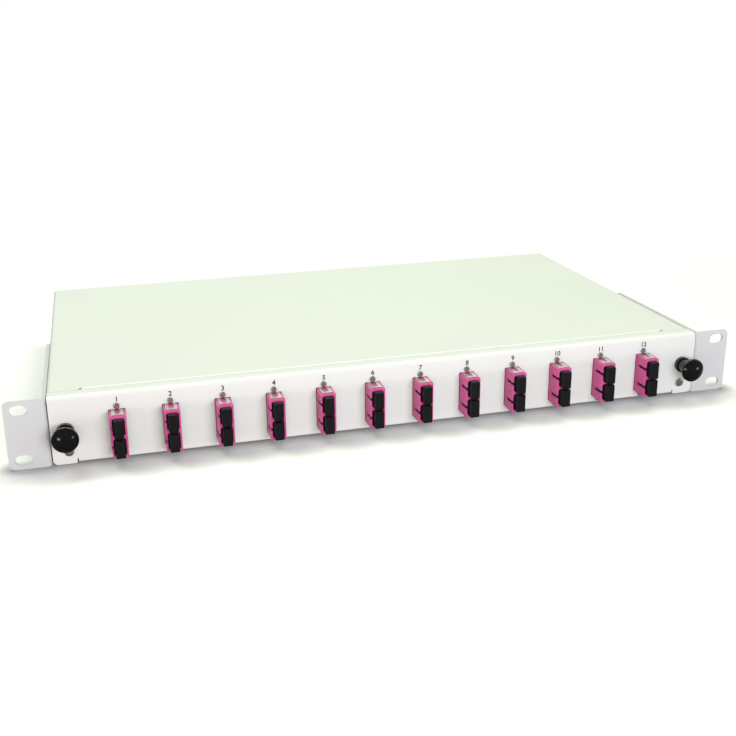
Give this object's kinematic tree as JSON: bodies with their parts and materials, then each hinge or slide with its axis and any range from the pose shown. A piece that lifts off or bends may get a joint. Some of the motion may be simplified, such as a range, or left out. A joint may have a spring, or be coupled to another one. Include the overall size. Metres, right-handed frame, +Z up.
{
  "type": "fibre splice box",
  "caption": "Rack-mounted fibre splice box one unit high: a sheet steel casing with a pull-out drawer, duplex fibre adapters with dust caps, latch knobs and rack ears.",
  "frame": {"origin": "middle of the four rack slots, in the plane of the ears' rear faces, which bolt to the rack rails", "axes": "+X to the right seen from the front, +Y into the rack, +Z up"},
  "size_m": [0.4826, 0.2913, 0.0436],
  "materials": {
    "powder_coat": "satin powder coat",
    "screw_steel": "bright zinc",
    "spring_steel": "stamped",
    "adapter_violet": "moulded satin",
    "cap_black": "soft matte",
    "latch_black": "glossy",
    "gland_grey": "moulded satin",
    "seal_rubber": "matte",
    "cassette_grey": "moulded satin",
    "lid_clear": "clear",
    "clip_white": "moulded satin"
  },
  "bodies": {
    "casing": {"casing_cover": "powder_coat", "casing_base": "powder_coat", "ear_left": "powder_coat", "ear_right": "powder_coat", "casing_screws": "screw_steel", "blanking_plugs": "gland_grey", "gland_body": "gland_grey", "gland_seal": "seal_rubber", "gland_cap_nut": "gland_grey", "gland_locknut": "gland_grey"},
    "drawer": {"front_panel": "powder_coat", "drawer_tray": "powder_coat", "panel_screws": "screw_steel", "latch_bushes": "latch_black", "adapter_01": "adapter_violet", "adapter_02": "adapter_violet", "adapter_03": "adapter_violet", "adapter_04": "adapter_violet", "adapter_05": "adapter_violet", "adapter_06": "adapter_violet", "adapter_07": "adapter_violet", "adapter_08": "adapter_violet", "adapter_09": "adapter_violet", "adapter_10": "adapter_violet", "adapter_11": "adapter_violet", "adapter_12": "adapter_violet", "adapter_screws": "screw_steel", "adapter_clips": "spring_steel", "rear_dust_caps": "cap_black", "splice_cassette": "cassette_grey", "cassette_lid": "lid_clear", "cassette_nuts": "screw_steel", "fibre_clips": "clip_white"},
    "latch_left": {"latch_knob_left": "latch_black"},
    "latch_right": {"latch_knob_right": "latch_black"},
    "cap_01_upper": {"dust_cap_01_upper": "cap_black"},
    "cap_01_lower": {"dust_cap_01_lower": "cap_black"},
    "cap_02_upper": {"dust_cap_02_upper": "cap_black"},
    "cap_02_lower": {"dust_cap_02_lower": "cap_black"},
    "cap_03_upper": {"dust_cap_03_upper": "cap_black"},
    "cap_03_lower": {"dust_cap_03_lower": "cap_black"},
    "cap_04_upper": {"dust_cap_04_upper": "cap_black"},
    "cap_04_lower": {"dust_cap_04_lower": "cap_black"},
    "cap_05_upper": {"dust_cap_05_upper": "cap_black"},
    "cap_05_lower": {"dust_cap_05_lower": "cap_black"},
    "cap_06_upper": {"dust_cap_06_upper": "cap_black"},
    "cap_06_lower": {"dust_cap_06_lower": "cap_black"},
    "cap_07_upper": {"dust_cap_07_upper": "cap_black"},
    "cap_07_lower": {"dust_cap_07_lower": "cap_black"},
    "cap_08_upper": {"dust_cap_08_upper": "cap_black"},
    "cap_08_lower": {"dust_cap_08_lower": "cap_black"},
    "cap_09_upper": {"dust_cap_09_upper": "cap_black"},
    "cap_09_lower": {"dust_cap_09_lower": "cap_black"},
    "cap_10_upper": {"dust_cap_10_upper": "cap_black"},
    "cap_10_lower": {"dust_cap_10_lower": "cap_black"},
    "cap_11_upper": {"dust_cap_11_upper": "cap_black"},
    "cap_11_lower": {"dust_cap_11_lower": "cap_black"},
    "cap_12_upper": {"dust_cap_12_upper": "cap_black"},
    "cap_12_lower": {"dust_cap_12_lower": "cap_black"}
  },
  "joints": [
    {"name": "drawer_slide", "type": "slide", "parent": "casing", "child": "drawer", "axis": [0, -1, 0], "range_m": [0, 0.18]},
    {"name": "latch_pull_left", "type": "slide", "parent": "drawer", "child": "latch_left", "axis": [0, -1, 0], "range_m": [0, 0.005]},
    {"name": "latch_pull_right", "type": "slide", "parent": "drawer", "child": "latch_right", "axis": [0, -1, 0], "range_m": [0, 0.005]},
    {"name": "cap_01_upper_pull", "type": "slide", "parent": "drawer", "child": "cap_01_upper", "axis": [0, -1, 0], "range_m": [0, 0.02]},
    {"name": "cap_01_lower_pull", "type": "slide", "parent": "drawer", "child": "cap_01_lower", "axis": [0, -1, 0], "range_m": [0, 0.02]},
    {"name": "cap_02_upper_pull", "type": "slide", "parent": "drawer", "child": "cap_02_upper", "axis": [0, -1, 0], "range_m": [0, 0.02]},
    {"name": "cap_02_lower_pull", "type": "slide", "parent": "drawer", "child": "cap_02_lower", "axis": [0, -1, 0], "range_m": [0, 0.02]},
    {"name": "cap_03_upper_pull", "type": "slide", "parent": "drawer", "child": "cap_03_upper", "axis": [0, -1, 0], "range_m": [0, 0.02]},
    {"name": "cap_03_lower_pull", "type": "slide", "parent": "drawer", "child": "cap_03_lower", "axis": [0, -1, 0], "range_m": [0, 0.02]},
    {"name": "cap_04_upper_pull", "type": "slide", "parent": "drawer", "child": "cap_04_upper", "axis": [0, -1, 0], "range_m": [0, 0.02]},
    {"name": "cap_04_lower_pull", "type": "slide", "parent": "drawer", "child": "cap_04_lower", "axis": [0, -1, 0], "range_m": [0, 0.02]},
    {"name": "cap_05_upper_pull", "type": "slide", "parent": "drawer", "child": "cap_05_upper", "axis": [0, -1, 0], "range_m": [0, 0.02]},
    {"name": "cap_05_lower_pull", "type": "slide", "parent": "drawer", "child": "cap_05_lower", "axis": [0, -1, 0], "range_m": [0, 0.02]},
    {"name": "cap_06_upper_pull", "type": "slide", "parent": "drawer", "child": "cap_06_upper", "axis": [0, -1, 0], "range_m": [0, 0.02]},
    {"name": "cap_06_lower_pull", "type": "slide", "parent": "drawer", "child": "cap_06_lower", "axis": [0, -1, 0], "range_m": [0, 0.02]},
    {"name": "cap_07_upper_pull", "type": "slide", "parent": "drawer", "child": "cap_07_upper", "axis": [0, -1, 0], "range_m": [0, 0.02]},
    {"name": "cap_07_lower_pull", "type": "slide", "parent": "drawer", "child": "cap_07_lower", "axis": [0, -1, 0], "range_m": [0, 0.02]},
    {"name": "cap_08_upper_pull", "type": "slide", "parent": "drawer", "child": "cap_08_upper", "axis": [0, -1, 0], "range_m": [0, 0.02]},
    {"name": "cap_08_lower_pull", "type": "slide", "parent": "drawer", "child": "cap_08_lower", "axis": [0, -1, 0], "range_m": [0, 0.02]},
    {"name": "cap_09_upper_pull", "type": "slide", "parent": "drawer", "child": "cap_09_upper", "axis": [0, -1, 0], "range_m": [0, 0.02]},
    {"name": "cap_09_lower_pull", "type": "slide", "parent": "drawer", "child": "cap_09_lower", "axis": [0, -1, 0], "range_m": [0, 0.02]},
    {"name": "cap_10_upper_pull", "type": "slide", "parent": "drawer", "child": "cap_10_upper", "axis": [0, -1, 0], "range_m": [0, 0.02]},
    {"name": "cap_10_lower_pull", "type": "slide", "parent": "drawer", "child": "cap_10_lower", "axis": [0, -1, 0], "range_m": [0, 0.02]},
    {"name": "cap_11_upper_pull", "type": "slide", "parent": "drawer", "child": "cap_11_upper", "axis": [0, -1, 0], "range_m": [0, 0.02]},
    {"name": "cap_11_lower_pull", "type": "slide", "parent": "drawer", "child": "cap_11_lower", "axis": [0, -1, 0], "range_m": [0, 0.02]},
    {"name": "cap_12_upper_pull", "type": "slide", "parent": "drawer", "child": "cap_12_upper", "axis": [0, -1, 0], "range_m": [0, 0.02]},
    {"name": "cap_12_lower_pull", "type": "slide", "parent": "drawer", "child": "cap_12_lower", "axis": [0, -1, 0], "range_m": [0, 0.02]}
  ]
}
